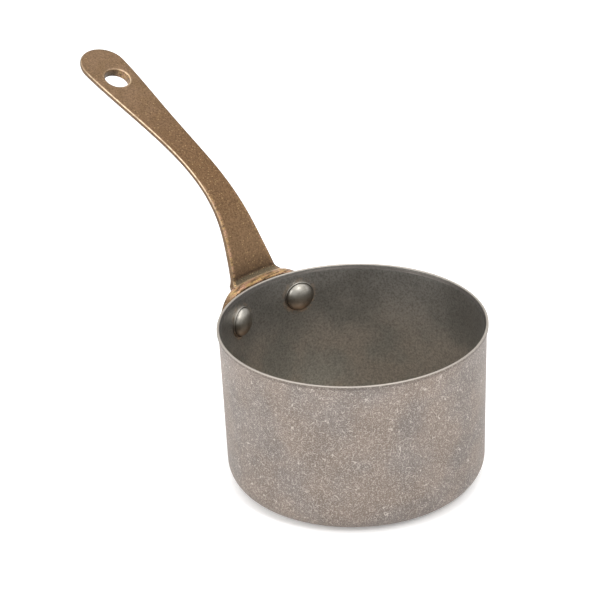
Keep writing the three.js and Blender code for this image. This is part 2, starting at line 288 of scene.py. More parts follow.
class Graph:
    """A material's nodes, laid down one call at a time around one principled shader."""

    def __init__(self, name: str) -> None:
        """Starts a material with an empty shader.

        Args:
            name: the material's name.
        """
        self.material = bpy.data.materials.new(name)
        self.material.use_nodes = True
        self.tree = self.material.node_tree
        self.tree.nodes.clear()
        self.shader = self.lay("BsdfPrincipled")
        self.lay("OutputMaterial", {"Surface": self.shader.outputs["BSDF"]})
        self.place = self.lay("TexCoord").outputs["Object"]

    def lay(self, kind: str, inputs: dict[str | int, Fill] | None = None, **settings: str) -> bpy.types.Node:
        """Lays down one node.

        Args:
            kind: Blender's name for it, without the opening that all shader nodes share.
            inputs: what fills its inputs, by name or number.
            settings: its own settings.

        Returns:
            The node.
        """
        node = self.tree.nodes.new("ShaderNode" + kind)
        for name, setting in settings.items():
            setattr(node, name, setting)
        for key, fill in (inputs or {}).items():
            self.put(node.inputs[key], fill)
        return node

    def put(self, socket: Socket, fill: Fill) -> None:
        """Links a socket to another one, or sets it to a number or colour.

        Args:
            socket: the input to fill.
            fill: what fills it.
        """
        if isinstance(fill, bpy.types.NodeSocket):
            self.tree.links.new(fill, socket)
        elif isinstance(fill, tuple):
            socket.default_value = (*fill, 1.0) if len(socket.default_value) == 4 else fill
        else:
            socket.default_value = fill

    def set(self, **inputs: Fill) -> None:
        """Fills the shader's inputs by name; an underscore in a name stands for a space."""
        for name, fill in inputs.items():
            self.put(self.shader.inputs[name.replace("_", " ")], fill)

    def values(self, names: str) -> list[Socket]:
        """The mesh's own numbers at a point, by their names with spaces between."""
        return [self.lay("Attribute", attribute_name=name).outputs["Fac"] for name in names.split()]

    def stretched(self, scale: Point, turn: Point = (0.0, 0.0, 0.0)) -> Socket:
        """The object's coordinates, turned about X, Y and Z and stretched along them."""
        return self.lay("Mapping", {"Vector": self.place, "Scale": scale, "Rotation": turn}).outputs["Vector"]

    def noise(self, size: float, detail: float = 2.0, rough: float = 0.5, place: Socket | None = None) -> Socket:
        """Cloudy noise about 0.5, by the size of a cloud in millimetres and the number and strength of its layers."""
        inputs = {"Vector": place or self.place, "Scale": 1.0 / (size * MM), "Detail": detail, "Roughness": rough}
        return self.lay("TexNoise", inputs).outputs["Fac"]

    def specks(self, size: float, place: Socket | None = None) -> tuple[Socket, Socket]:
        """Points `size` millimetres apart: the distance to the nearest as a share of it, and its own number."""
        cell = self.lay("TexVoronoi", {"Vector": place or self.place, "Scale": 1.0 / (size * MM)}).outputs
        return cell["Distance"], self.lay("SeparateColor", {"Color": cell["Color"]}).outputs["Red"]

    def nearest(self, points: tuple[Point, ...]) -> Number:
        """How far the nearest of some points is.

        Args:
            points: in millimetres, in the object's coordinates.

        Returns:
            The distance in millimetres.
        """
        least: Number = FAR_MM
        for point in points:
            inputs = {0: self.place, 1: tuple(x * MM for x in point)}
            gap = self.lay("VectorMath", inputs, operation="DISTANCE").outputs["Value"]
            least = self.math("MINIMUM", least, self.math("DIVIDE", gap, MM))
        return least

    def math(self, operation: str, first: Number, second: Number = 0.0) -> Socket:
        """One step of arithmetic, by Blender's name for it."""
        return self.lay("Math", {0: first, 1: second}, operation=operation).outputs["Value"]

    def times(self, *factors: Number) -> Number:
        """The product of some numbers."""
        return reduce(lambda first, second: self.math("MULTIPLY", first, second), factors)

    def step(self, low: float, high: float, value: Number, to_low: float = 0.0, to_high: float = 1.0) -> Socket:
        """A smooth step between two numbers.

        Args:
            low, high: where the step starts and ends; `low` may be the larger.
            value: what is stepped.
            to_low, to_high: the results at the two ends.

        Returns:
            The stepped value.
        """
        if low > high:
            low, high, to_low, to_high = high, low, to_high, to_low
        inputs = {"Value": value, "From Min": low, "From Max": high, "To Min": to_low, "To Max": to_high}
        return self.lay("MapRange", inputs, interpolation_type="SMOOTHSTEP").outputs["Result"]

    def scratches(self, size: float, width: float, gap: float, place: Socket | None = None) -> Socket:
        """Short curved scratches: thin level lines of one noise, broken up by another.

        Args:
            size: of the curves, in millimetres.
            width: of the lines, as a share of the noise's range.
            gap: how much of the lines is missing, from 0 to 1.
            place: coordinates to read them at; the object's if left out.

        Returns:
            1 on a scratch and 0 off it.
        """
        level = self.math("ABSOLUTE", self.math("SUBTRACT", self.noise(size, 1.0, 0.4, place), 0.5))
        line = self.step(width, 0.25 * width, level)
        kept = self.step(gap - 0.06, gap + 0.06, self.noise(0.7 * size, 0.0, 0.5, place))
        return self.times(line, kept)

    def flecks(self, size: float, most: float, turn: Point) -> Socket:
        """Short straight flecks: scattered points drawn out along one direction, with the share `most` left out."""
        spot, own = self.specks(size, self.stretched((1.0, 1.0, 0.24), turn))
        return self.times(self.step(0.22, 0.08, spot), self.math("GREATER_THAN", own, most))

    def blend(self, share: Number, first: Tint, second: Tint) -> Socket:
        """Mixes two colours, by the share of the second one."""
        return self.lay("Mix", {"Factor": share, 6: first, 7: second}, data_type="RGBA").outputs[2]

    def shaded(self, colour: Tint, factor: Socket) -> Socket:
        """Multiplies a colour by a grey number."""
        return self.lay("VectorMath", {0: colour, "Scale": factor}, operation="SCALE").outputs["Vector"]

    def bump(self, height: Socket, depth: float, strength: float) -> None:
        """Gives the shader a bump: heights from 0 to 1, their depth in millimetres and how much of it shows."""
        node = self.lay("Bump", {"Height": height, "Distance": depth * MM, "Strength": strength})
        self.put(self.shader.inputs["Normal"], node.outputs["Normal"])


@dataclass(frozen=True)
class StoneWashedSteel:
    """Tumbled steel: warm grey with cloudy patches outside, smoother and darker inside, a painted highlight on the
    rim.

    Painted shade darkens the lower outside, the lip's underside, the throat and the pot's floor; painted light makes
    the lining lighter downwards. The lining has faint light tan rings round the rivets' heads, stronger below them.
    """

    rivets: tuple[Point, ...]
    warm: Colour = srgb(134, 122, 113)
    cool: Colour = srgb(127, 119, 114)
    pale: Colour = srgb(216, 207, 197)
    deep: Colour = srgb(92, 84, 77)
    inner_high: Colour = srgb(144, 141, 136)
    inner_low: Colour = srgb(177, 174, 166)
    inner_stain: Colour = srgb(186, 172, 158)
    bright: Colour = srgb(178, 171, 162)
    shadow: Colour = srgb(62, 56, 51)
    ring: Colour = srgb(206, 177, 150)
    metal: float = 0.85

    def material(self) -> bpy.types.Material:
        """Builds the finish: patches, grain and tumbling marks, with painted light and shade, by the mesh's `inside`,
        `rim`, `shade` and `level`.

        Returns:
            The material.
        """
        g = Graph("stone_washed_steel")
        inside, rim, shade, level = g.values("inside rim shade level")
        grain = g.noise(0.45, 2.0, 0.6)
        turned = g.stretched((1.0, 1.0, 1.0), (0.5, 0.9, 0.3))

        # Outside: clouds of two greys, painted shade that darkens the lower wall, dark nicks, and pale marks of three
        # kinds over a fine grain.
        fine = g.scratches(0.7, 0.075, 0.43)
        hairs = g.scratches(2.4, 0.022, 0.58, turned)
        nicks = g.scratches(0.9, 0.06, 0.52, turned)
        flecks = g.math("MAXIMUM", g.flecks(0.7, 0.90, (0.8, 0.2, 0.5)), g.flecks(0.7, 0.90, (-0.7, 0.5, 1.1)))
        patch = g.blend(g.step(0.40, 0.66, g.noise(20.0, 3.0, 0.5)), self.warm, self.cool)
        # Painted shade: the outside is darker towards the bottom.
        patch = g.shaded(patch, g.step(0.55, 0.95, level, 0.92, 1.03))
        patch = g.shaded(patch, g.step(0.32, 0.68, g.noise(15.0, place=turned), 0.90, 1.08))
        grained = g.shaded(patch, g.step(0.28, 0.72, grain, 0.82, 1.16))
        grained = g.blend(g.times(nicks, 0.35), grained, self.deep)
        marks = g.math("MAXIMUM", g.times(fine, 0.6), g.math("MAXIMUM", hairs, flecks))
        outer = g.blend(g.times(marks, 0.53), grained, self.pale)

        # Inside: painted light makes the lining lighter downwards and painted shade darkens the pot's floor;
        # it is hazed by brownish stains, with broken light tan rings round the rivets' heads.
        haze = g.noise(17.0, place=turned)
        # Painted light: the lining is lighter towards the bottom.
        lining = g.blend(g.step(0.95, 0.10, level), self.inner_high, self.inner_low)
        # Painted shade at the pot's floor and the foot of its corner.
        lining = g.shaded(lining, g.step(0.02, 0.16, level, 0.74, 1.0))
        stained = g.times(g.step(0.36, 0.64, haze), g.step(1.0, 0.40, level, 0.0, 0.55))
        near = g.nearest(self.rivets)
        ring = g.times(g.step(5.0, 5.7, near), g.step(7.0, 5.9, near), g.step(0.40, 0.62, g.noise(1.6)),
                       g.step(0.86, 0.76, level, 0.3, 0.6))
        stained_and_lit = g.blend(ring, g.blend(stained, lining, self.inner_stain), self.ring)
        inner = g.shaded(stained_and_lit, g.step(0.30, 0.70, g.noise(0.7, 3.0, 0.7), 0.72, 1.24))

        wall = g.blend(shade, g.blend(inside, outer, inner), self.shadow)
        # A highlight painted along the rim's crest.
        lip = g.shaded(self.bright, g.step(0.2, 0.8, grain, 0.88, 1.08))
        g.set(Base_Color=g.blend(rim, wall, lip), Metallic=self.metal)
        tumbled = g.times(g.step(0.2, 0.8, grain, 0.48, 0.64), g.math("SUBTRACT", 1.0, inside))
        smoother = g.times(g.step(0.3, 0.7, haze, 0.36, 0.50), inside)
        g.set(Roughness=g.math("ADD", tumbled, smoother))
        g.bump(g.math("ADD", grain, g.times(marks, 0.6)), 0.012, 0.6)
        return g.material


@dataclass(frozen=True)
class AntiquedBrass:
    """Dark antiqued brass: a brownish satin patina with fine bright specks painted as glints, its edges brightened by
    wear and a painted highlight.
    """

    patina: Colour = srgb(127, 102, 78)
    umber: Colour = srgb(118, 94, 68)
    bronze: Colour = srgb(110, 83, 57)
    amber: Colour = srgb(126, 100, 74)
    ash: Colour = srgb(106, 97, 78)
    glint_gold: Colour = srgb(238, 204, 146)
    rubbed_and_lit: Colour = srgb(246, 222, 190)
    blush: Colour = srgb(190, 150, 124)
    ochre: Colour = srgb(184, 152, 104)
    soot: Colour = srgb(50, 40, 32)
    metal: float = 0.85

    def material(self) -> bpy.types.Material:
        """Builds the finish, by the mesh's `worn`, `waist`, `root`, `blush`, `ash`, `soot` and `gilt` numbers.

        `worn` is wear with a painted highlight, `blush` a painted warm highlight, `ash` patina in the hollow and
        painted sheen in the hole, `soot` painted shade, and `gilt` a corner at the root bright with wear and a
        painted glint.

        Returns:
            The material.
        """
        g = Graph("antiqued_brass")
        worn, waist, root, blush, ash, soot, gilt = g.values("worn waist root blush ash soot gilt")
        grain = g.noise(0.6, 3.0, 0.75)

        # The patina changes along the strap; a painted warm highlight, streaked with several tones, lies along the
        # lit edges, the ledge, the flange's top and the lit side of the hole.
        base = g.blend(g.step(0.36, 0.68, g.noise(7.0, 3.0, 0.6)), self.patina, self.umber)
        base = g.blend(g.times(waist, 0.8), base, self.bronze)
        base = g.blend(g.times(root, 0.9), base, self.amber)
        drawn = g.stretched((1.0, 0.2, 1.0))
        stained_and_lit = g.blend(g.step(0.42, 0.58, g.noise(1.0, place=drawn)), self.blush, self.ochre)
        stained_and_lit = g.blend(g.step(0.52, 0.64, g.noise(0.8, 1.0, 0.5, drawn)), stained_and_lit, self.umber)
        base = g.blend(blush, g.blend(ash, base, self.ash), stained_and_lit)
        base = g.shaded(base, g.step(0.28, 0.72, grain, 0.58, 1.40))
        # Painted shade in the crease, on the strap's underside, low on the flange and in the hole.
        base = g.blend(soot, base, self.soot)

        # Bright specks painted as glints, more of them towards the waist, a painted glint on a corner at the root,
        # and edges brightened by wear and a painted highlight.
        spot, own = g.specks(0.6)
        few = g.math("SUBTRACT", 0.965, g.times(waist, 0.17))
        glint_speck = g.times(g.step(0.36, 0.14, spot), g.math("GREATER_THAN", own, few))
        gilt = g.times(gilt, g.step(0.40, 0.56, g.noise(0.8, 1.0, 0.5)))
        base = g.blend(g.math("MAXIMUM", g.times(glint_speck, 0.42), gilt), base, self.glint_gold)
        patchy = g.step(0.34, 0.60, g.noise(2.2, 3.0, 0.6))
        rubbed_and_lit = g.times(worn, g.math("ADD", 0.5, g.times(patchy, 0.5)))
        g.set(Base_Color=g.blend(rubbed_and_lit, base, self.rubbed_and_lit), Metallic=self.metal)
        g.set(Roughness=g.math("SUBTRACT", g.step(0.2, 0.8, grain, 0.42, 0.56), g.times(worn, 0.14)))
        g.bump(g.math("ADD", grain, g.times(glint_speck, 0.5)), 0.015, 0.5)
        return g.material


@dataclass(frozen=True)
class PolishedSteel:
    """Steel rivets, polished and a little hazed by use, with a warm reflection painted low on each head and shade
    painted in the groove round the dome.
    """

    steel: Colour = srgb(184, 180, 172)
    tarnish: Colour = srgb(150, 145, 136)
    warm_reflection: Colour = srgb(132, 109, 90)
    groove: Colour = srgb(92, 85, 79)
    metal: float = 1.0

    def material(self) -> bpy.types.Material:
        """Builds the finish: fine rubbing, with the mesh's `low` painting a warm reflection on it and `groove`
        painting shade at the dome's foot.

        Returns:
            The material.
        """
        g = Graph("polished_steel")
        low, groove = g.values("low groove")
        haze = g.noise(3.0, 3.0, 0.6)
        grain = g.noise(0.5, 2.0, 0.6)
        base = g.blend(g.step(0.36, 0.70, haze), self.steel, self.tarnish)
        base = g.blend(low, base, self.warm_reflection)
        base = g.shaded(base, g.step(0.2, 0.8, grain, 0.90, 1.06))
        # Painted shade in the groove round the dome's foot.
        g.set(Base_Color=g.blend(groove, base, self.groove), Metallic=self.metal)
        g.set(Roughness=g.step(0.3, 0.7, haze, 0.36, 0.42))
        g.bump(g.math("ADD", grain, g.scratches(1.2, 0.03, 0.6)), 0.006, 0.3)
        return g.material


# The pan


@dataclass
class Cup:
    """The drawn cup: a flat base, a round corner, a drafted wall and a lip turned out over it."""

    height: float = 56.0
    rim_diameter: float = 90.0
    sheet: float = 0.9
    lip_overhang: float = 0.55
    lip_height: float = 1.5
    draft: float = math.radians(1.35)
    corner: float = 7.8
    round_steps: int = 256
    wall_rows: int = 24
    arc_rows: int = 14
    unevenness: float = 0.05
    lip_shade: float = 0.3
    throat_shade: float = 0.85

    @property
    def lip_foot(self) -> float:
        """Height at which the lip starts."""
        return self.height - self.lip_height

    def wall_radius(self, z: Spread) -> Spread:
        """The wall's outer radius at a height."""
        return self.rim_diameter / 2 - self.lip_overhang - (self.lip_foot - z) * math.tan(self.draft)

    def corner_arc(self, offset: float) -> Array:
        """The corner as (radius, height) points from the base up, `offset` outside the sheet's outer face."""
        centre = self.wall_radius(self.corner) - self.corner * math.cos(self.draft)
        return arc((centre, self.corner), (self.corner + offset,) * 2, -QUARTER, -self.draft, self.arc_rows)

    def profile(self) -> tuple[Array, dict[str, Array]]:
        """The section of the sheet, from the middle of the base outside to the middle of the base inside.

        Returns:
            (radius, height) points, and for each how much it is inside, on the rim (where a highlight is painted) and
            in the lip's shade.
        """
        rim, crown = self.rim_diameter / 2, self.sheet / 2
        outer, inner = self.corner_arc(0.0), self.corner_arc(-self.sheet)[::-1]
        under = arc((rim - self.lip_overhang, self.lip_foot + self.lip_overhang), (self.lip_overhang,) * 2,
                    -QUARTER, 0.0, self.arc_rows // 2)
        over = arc((rim - crown, self.height - crown), (crown, crown), 0.0, math.pi, self.arc_rows)
        down = np.linspace(0.0, 1.0, self.arc_rows)[1:]
        slope = np.column_stack([smooth(0.0, 1.0, down), down])
        throat = over[-1] - (self.lip_overhang, self.lip_height - crown) * slope
        base = between((0.0, 0.0), outer[0], self.wall_rows)[:-1]
        wall = between(outer[-1], under[0], self.wall_rows)[1:-1]
        lining = between(throat[-1], inner[0], self.wall_rows)[1:-1]
        floor = between(inner[-1], (0.0, self.sheet), self.wall_rows)[1:]
        runs = [np.concatenate([base, outer, wall]), under, over, throat, np.concatenate([lining, inner, floor])]
        out, across = np.linspace(0.0, 1.0, len(under)), np.linspace(0.0, 1.0, len(over))
        # The crest of the rim, where a highlight is painted.
        crest = smooth(0.0, 0.3, across) * smooth(0.95, 0.7, across)
        shade = [0.0, self.lip_shade * smooth(0.0, 0.5, out), self.lip_shade * smooth(0.2, 0.0, across),
                 self.throat_shade * np.sqrt(np.sin(math.pi * down)), 0.0]
        return np.concatenate(runs), {
            "inside": strung(runs, [0.0, 0.0, across > 0.75, 1.0, 1.0]),
            "rim": strung(runs, [0.0, 0.0, crest, 0.0, 0.0]),
            "shade": strung(runs, shade),
        }

    def surface(self) -> Surface:
        """The section turned round the axis: (r cos t, r sin t, z), with r swelling by a few slow waves of t and z.

        Returns:
            The cup's surface.
        """
        section, values = self.profile()
        t = whole_turn(self.round_steps)
        radius, z = section[:, :1], section[:, 1:]
        wave = np.sin(3 * t + 0.7) + 0.6 * np.sin(7 * t + z / 9.0) + 0.5 * np.sin(5 * t - z / 14.0 + 2.0)
        swell = self.unevenness * wave * smooth(2.0, 20.0, z) * smooth(self.height, self.height - 12.0, z)
        r = radius + swell * np.minimum(radius / self.corner, 1.0)
        points = np.stack([r * np.cos(t), r * np.sin(t), np.broadcast_to(z, r.shape)], axis=-1)
        return Surface.on_grid(points, around=True, **values, level=z / self.height)

    def build(self, finish: StoneWashedSteel) -> bpy.types.Object:
        """Makes the cup and puts it in its node's place.

        Args:
            finish: of the cup.

        Returns:
            The cup.
        """
        cup = self.surface().made("cup", finish.material())
        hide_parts("pot_body")
        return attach(cup, BODY)


class Side(Enum):
    """The two rivets, by the side of the handle that they are on."""

    LEFT = 1
    RIGHT = -1

    @property
    def node(self) -> str:
        """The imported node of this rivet."""
        return f"rivet_{self.name.lower()}"


@dataclass
class Flange:
    """The oval flange that hugs the wall, as a plate wrapped round the cup."""

    cup: Cup
    length: float = 40.4
    height: float = 19.4
    end: float = 12.0
    thickness: float = 4.45
    outer_edge: float = 1.2
    inner_edge: float = 0.8
    seat: float = 0.3
    rivet_drop: float = 9.0
    spine_inset: float = 2.0
    straight_pace: float = 3.0
    stations: int = 96
    edge_steps: int = 6
    face_steps: int = 8

    @property
    def middle(self) -> float:
        """Height of the flange's middle line and of the rivets."""
        return self.cup.height - self.rivet_drop

    @property
    def ledge(self) -> float:
        """Height of the flange's top."""
        return self.middle + self.height / 2

    @property
    def outer_radius(self) -> float:
        """Radius of the flange's outer face."""
        return self.cup.wall_radius(self.middle) + self.seat + self.thickness

    def inner_radius(self, z: Array) -> Array:
        """Radius of the face that sits on the wall and clears the lip."""
        wall, lip = self.cup.wall_radius(z) + self.seat, self.cup.rim_diameter / 2 + self.seat
        return wall + (lip - wall) * eased(self.cup.lip_foot, z)

    def surface(self) -> Surface:
        """The oval plate, each half mirrored about its middle line, wrapped on circles about the cup's axis.

        A point goes to the angle along / R, the height middle + across, and a radius that runs from the outer face
        in to the wall with its depth.

        Returns:
            The flange's surface.
        """
        straight, spine = self.length / 2 - self.end, self.length / 2 - self.spine_inset
        t = np.linspace(0.0, math.pi, self.stations)
        along = -np.cos(t) * self.end + np.clip(-np.cos(t) * self.straight_pace, -1.0, 1.0) * straight
        past = np.clip((np.abs(along) - straight) / self.end, 0.0, 1.0)
        outline = np.column_stack([along, self.height / 2 * np.sqrt(1.0 - past**2)])
        outline[[0, -1], 1] = 0.0
        middle = on_axis(np.clip(along, -spine, spine))
        levels = edge_levels(self.thickness, self.outer_edge, (self.inner_edge, self.inner_edge), self.edge_steps)
        plate = HalfPlate.cut(middle, outline, levels, self.face_steps)
        return self.wrapped(plate, 1.0).joined(self.wrapped(plate, -1.0))

    def wrapped(self, plate: HalfPlate, side: float) -> Surface:
        """One half of the plate, wrapped.

        Args:
            plate: the flat half.
            side: 1 for the upper half and -1 for the lower.

        Returns:
            The half's surface.
        """
        angle = plate.along / self.outer_radius
        z = self.middle + side * plate.across
        share = plate.depth / self.thickness
        radius = self.outer_radius * (1 - share) + self.inner_radius(z) * share
        points = np.stack([radius * np.cos(angle), radius * np.sin(angle), z], axis=-1)
        # Wear and a painted highlight on the top edge, a painted warm highlight beside it, painted shade lower down.
        turn = plate.first + self.edge_steps // 2
        top = smooth(-2.8, -0.4, z - self.ledge)
        rounded = np.clip(1.0 - np.abs(plate.column - turn) / 4.0, 0.0, 1.0)
        beside = (plate.column >= turn) & (plate.column < plate.last)
        return Surface.on_grid(points, worn=0.5 * rounded * top, waist=1.0, root=1.0, blush=0.1 + 0.85 * beside * top,
                               ash=0.0, soot=0.4 * (1.0 - top), gilt=0.0)


@dataclass
class Strap:
    """The strap: tapered from the flange to a waist, widened to a round tongue with a hole, and bent upwards."""

    flange: Flange
    thickness: float = 3.3
    upper_edge: float = 0.6
    under_edge: float = 3.3
    under_rise: float = 2.7
    root_angle: float = math.radians(75.1)
    tip_angle: float = math.radians(24.0)
    bend_run: float = 45.9
    bend_rise: float = 44.3
    root_pull: float = 27.5
    tip_pull: float = 27.5
    tip_length: float = 39.8
    run_out: float = 3.0
    sink: float = 0.4
    root_width: float = 19.7
    root_taper: float = 0.18
    root_hold: float = 14.0
    waist_width: float = 10.5
    waist_at: float = 45.0
    waist_hold: float = 21.0
    tongue_width: float = 17.0
    tongue_hold: float = 12.0
    flare_radius: float = 3.4
    flare_turn: float = math.radians(40.0)
    wrap_fade: float = 14.0
    ledge_fillet: float = 2.1
    hole_diameter: float = 8.8
    hole_from_tip: float = 16.0
    hole_chamfer: float = 0.4
    spine_stop: float = 1.5
    low_span: Pair = (44.0, 14.0)
    waist_span: Pair = (95.0, 48.0)
    root_span: Pair = (38.0, 8.0)
    dim_span: Pair = (8.0, 1.5)
    sunk_to: float = -2.4
    foot_span: Pair = (-2.2, 3.4)
    strap_from: float = 3.8
    sunk_rows: int = 8
    foot_rows: int = 36
    strap_rows: int = 150
    hole_rows: int = 41
    tip_rows: int = 49
    edge_steps: int = 6
    face_steps: int = 9
    chamfer_steps: int = 4
    line: Array = field(init=False)
    run: Array = field(init=False)
    distance: Array = field(init=False)

    def __post_init__(self) -> None:
        """Lays out the strap's upper face from the side: a parabola in the flange, a Bezier bend and a straight.

        Keeps its points, its unit directions and each point's distance from the ledge along it.
        """
        root = np.array([self.flange.outer_radius, self.flange.ledge])
        leave = np.array([math.cos(self.root_angle), math.sin(self.root_angle)])
        reach = np.array([math.cos(self.tip_angle), math.sin(self.tip_angle)])
        end = root + (self.bend_run, self.bend_rise)
        flush = self.flange.outer_radius - self.thickness - self.sink
        meet = np.array([flush, root[1] - (root[0] - flush) * math.tan(self.root_angle)])
        start = meet - (0.0, self.run_out)
        t = np.linspace(0.0, 1.0, CURVE_STEPS // 2 + 1)[:, None]
        sunk = start * (1 - t) ** 2 + 2 * meet * t * (1 - t) + root * t**2
        bend = bezier([root, root + leave * self.root_pull, end - reach * self.tip_pull, end], 2 * CURVE_STEPS)
        straight = between(end, end + reach * self.tip_length, CURVE_STEPS)
        self.line = np.concatenate([sunk[:-1], bend[:-1], straight])
        step = np.linalg.norm(np.diff(self.line, axis=0), axis=1)
        length = np.concatenate([[0.0], np.cumsum(step)])
        self.distance = length - length[len(sunk) - 1]
        run = np.gradient(self.line, axis=0)
        self.run = run / np.linalg.norm(run, axis=1, keepdims=True)

    @property
    def tip_at(self) -> float:
        """Distance from the ledge to the tip."""
        return float(self.distance[-1])

    @property
    def hole_at(self) -> float:
        """Distance from the ledge to the middle of the hole."""
        return self.tip_at - self.hole_from_tip

    @property
    def hole_edge(self) -> float:
        """Radius of the hole at the strap's faces."""
        return self.hole_diameter / 2 + self.hole_chamfer

    @property
    def fillet_reach(self) -> float:
        """Distance from the ledge to the upper end of the fillet over it."""
        return self.ledge_fillet * math.tan(self.root_angle / 2)

    @property
    def fillet_foot(self) -> float:
        """Distance from the ledge, along the strap, to the lower end of the fillet."""
        return self.fillet_reach - self.ledge_fillet * math.sin(self.root_angle)

    def outline(self) -> Array:
        """Half of the strap's outline: two Bezier curves and the round tip, with a flare at the flange.

        Returns:
            (along, half-width) points from the ledge to the tip.
        """
        root, waist, tongue = self.root_width / 2, self.waist_width / 2, self.tongue_width / 2
        tongue_at = self.tip_at - tongue
        lower = bezier([(0.0, root), (self.root_hold, root - self.root_hold * self.root_taper),
                        (self.waist_at - self.waist_hold, waist), (self.waist_at, waist)], CURVE_STEPS)
        upper = bezier([(self.waist_at, waist), (self.waist_at + self.waist_hold, waist),
                        (tongue_at - self.tongue_hold, tongue), (tongue_at, tongue)], CURVE_STEPS)
        into = np.maximum(self.flare_radius * math.sin(self.flare_turn) - lower[:, 0], 0.0)
        lower[:, 1] += sagitta(self.flare_radius, into)
        tip = arc((tongue_at, 0.0), (tongue, tongue), QUARTER, 0.0, CURVE_STEPS // 2)
        return np.concatenate([lower[:-1], upper[:-1], tip])

    def stations(self) -> tuple[Array, Array, slice]:
        """Where the rows of the strap's grid start and end.

        Up to the hole a row runs straight across. Round the hole it starts on the hole's edge. Past it the rows fan
        out to the round tip.

        Returns:
            Points of the middle line or the hole's edge, points of the outline, and which rows touch the hole.
        """
        outline = self.outline()
        sunk = np.linspace(self.distance[0], self.sunk_to, self.sunk_rows)
        foot = np.linspace(*self.foot_span, self.foot_rows)
        strap = np.linspace(self.strap_from, self.hole_at - self.hole_edge, self.strap_rows)[:-1]
        plain = np.concatenate([sunk, foot, strap])
        t = np.linspace(math.pi, 0.0, self.hole_rows)
        ring = np.column_stack([self.hole_at + self.hole_edge * np.cos(t), self.hole_edge * np.sin(t)])
        ring[[0, -1], 1] = 0.0
        beside = np.concatenate([plain, ring[:, 0]])
        edge = np.column_stack([beside, np.interp(beside, outline[:, 0], outline[:, 1])])
        rest = outline[outline[:, 0] > ring[-1, 0]]
        run = np.concatenate([[0.0], np.cumsum(np.linalg.norm(np.diff(rest, axis=0), axis=1))])
        share = np.linspace(0.0, 1.0, self.tip_rows)[1:]
        fan = np.column_stack([np.interp(share * run[-1], run, rest[:, i]) for i in (0, 1)])
        fan[-1] = (self.tip_at, 0.0)
        spine = ring[-1, 0] + share * (self.tip_at - self.spine_stop * self.under_edge - ring[-1, 0])
        middle = np.concatenate([on_axis(plain), ring, on_axis(spine)])
        return middle, np.concatenate([edge, fan]), slice(len(plain), len(plain) + len(ring))

    def fillet(self, along: Array) -> Array:
        """How far the hollow fillet over the ledge, a circle tangent to both, stands above the strap's face."""
        into = np.clip(self.fillet_reach - np.maximum(along, self.fillet_foot), 0.0, None)
        return sagitta(self.ledge_fillet, into) * eased(self.fillet_foot, along)

    def placed(self, along: Array, across: Array, depth: Array) -> Array:
        """Bends the flat strap: each point goes to its place on the line, then square to it by its depth.

        Near the flange the strap sags at its sides, as if wrapped round the cup.

        Args:
            along: distance from the ledge.
            across: distance from the middle.
            depth: distance below the upper face.

        Returns:
            Points, with one more axis than the arguments.
        """
        x, z = (np.interp(along, self.distance, self.line[:, i]) for i in (0, 1))
        run_x, run_z = (np.interp(along, self.distance, self.run[:, i]) for i in (0, 1))
        sag = (1.0 - smooth(0.0, self.wrap_fade, along)) * sagitta(self.flange.outer_radius, across)
        return np.stack([x + depth * run_z - sag, across, z - depth * run_x], axis=-1)

    def surface(self) -> Surface:
        """Both halves of the strap, a flat plate bent along its line, and the wall of its hole.

        Returns:
            The strap's surface.
        """
        middle, outline, holed = self.stations()
        levels = edge_levels(self.thickness, self.upper_edge, (self.under_edge, self.under_rise), self.edge_steps)
        plate = HalfPlate.cut(middle, outline, levels, self.face_steps)
        whole = self.half(plate, 1.0).joined(self.half(plate, -1.0))
        ring = middle[holed]
        return whole.joined(self.hole_wall(ring, 1.0)).joined(self.hole_wall(ring, -1.0))

    def half(self, plate: HalfPlate, side: float) -> Surface:
        """The strap's left half, if `side` is 1, or its right, if it is -1, with the fillet raised on it."""
        depth = plate.depth - (plate.column <= plate.first + self.edge_steps) * self.fillet(plate.along)
        return Surface.on_grid(self.placed(plate.along, side * plate.across, depth), **self.marks(plate, side > 0))

    def marks(self, plate: HalfPlate, left: bool) -> dict[str, Array]:
        """Where the strap shows wear and patina, and where highlight and shade are painted on it.

        Args:
            plate: the flat half.
            left: whether it is the left half, whose edge gets a stronger painted highlight.

        Returns:
            The numbers that the finish reads, by name.
        """
        along, first, column = plate.along, plate.first, plate.column
        reach, brow, upper = self.fillet_reach, self.fillet_foot, column < first + 4

        # Along the edge and round the hole: wear, with a painted highlight that is stronger on the left edge and
        # fades towards the ends, and painted shade on the underside.
        inset = np.hypot(along - along[:, first:first + 1], plate.across - plate.across[:, first:first + 1])
        band = np.where(column <= first, smooth(0.95, 0.25, inset), smooth(first + 3.0, first + 0.5, column))
        bevel = np.clip(1.2 - np.abs(column - (first + 2.6)) / 1.5, 0.0, 1.0)
        under = smooth(first + 2.0, first + 4.0, column) * (column < plate.last)
        hole = np.hypot(along - self.hole_at, plate.across) - self.hole_edge
        ring = np.where(column < first, smooth(0.3, 0.05, hole), 0.0)
        low = smooth(*self.low_span, along)
        far = smooth(self.tip_at - 24.0, self.tip_at - 2.0, along)
        shown = (0.9 if left else 0.2) * (1.0 - 0.85 * low) * (1.0 - 0.6 * far)

